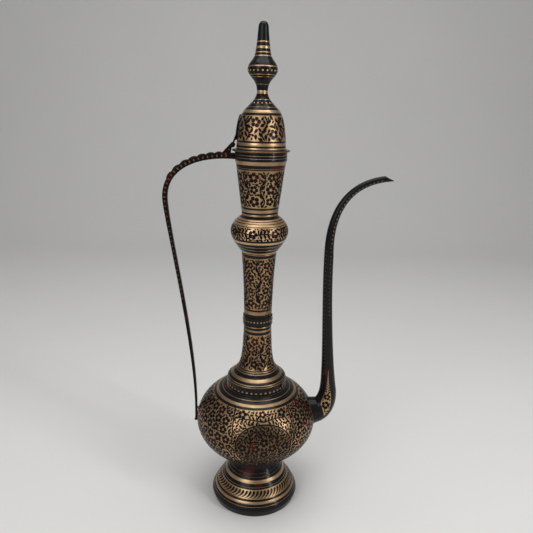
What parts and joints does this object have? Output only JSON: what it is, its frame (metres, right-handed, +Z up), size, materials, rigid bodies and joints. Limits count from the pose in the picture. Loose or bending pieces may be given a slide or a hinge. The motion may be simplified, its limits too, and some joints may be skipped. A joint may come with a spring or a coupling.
{
  "type": "surahi ewer",
  "caption": "Tall turned brass ewer with a round bowl, a slim neck, a swan-neck spout, a strap handle and a hinged domed lid, for holding and pouring water.",
  "frame": {"origin": "on the table, at the centre of the foot's rim and on the turning axis", "axes": "+Z up along the turning axis, +X towards the spout, -X towards the handle"},
  "size_m": [0.231, 0.131, 0.5077],
  "materials": {
    "brass": "antique brass, engraved through black lacquer",
    "black_lacquer": "brass under glossy black lacquer",
    "steel": "plain steel fasteners"
  },
  "bodies": {
    "vessel": {"foot": "black_lacquer", "foot_bolt": "steel", "foot_washer": "steel", "foot_nut": "steel", "bowl_lower": "brass", "bowl_upper": "brass", "shoulder_collar": "black_lacquer", "shoulder_nipple": "brass", "shoulder_lock_ring": "brass", "neck_lower": "brass", "neck_ring": "black_lacquer", "neck_nipple": "brass", "neck_upper": "brass", "knop_nipple": "brass", "knop_lower": "black_lacquer", "knop_upper": "black_lacquer", "cup_nipple": "brass", "mouth_cup": "brass", "mouth_rim": "black_lacquer", "spout_collar": "black_lacquer", "spout": "black_lacquer", "handle": "black_lacquer", "handle_rivets": "brass", "hinge_pin": "brass"},
    "lid": {"lid_brim": "black_lacquer", "lid_guide_ring": "brass", "lid_dome": "brass", "lid_cap": "black_lacquer", "finial": "black_lacquer", "finial_stud": "steel", "finial_nut": "steel", "lid_strap": "black_lacquer", "strap_rivets": "brass"}
  },
  "joints": [
    {"name": "lid_hinge", "type": "hinge", "parent": "vessel", "child": "lid", "pos_m": [-0.0279, 0, 0.3952], "axis": [0, -1, 0], "range_deg": [0, 100]}
  ]
}
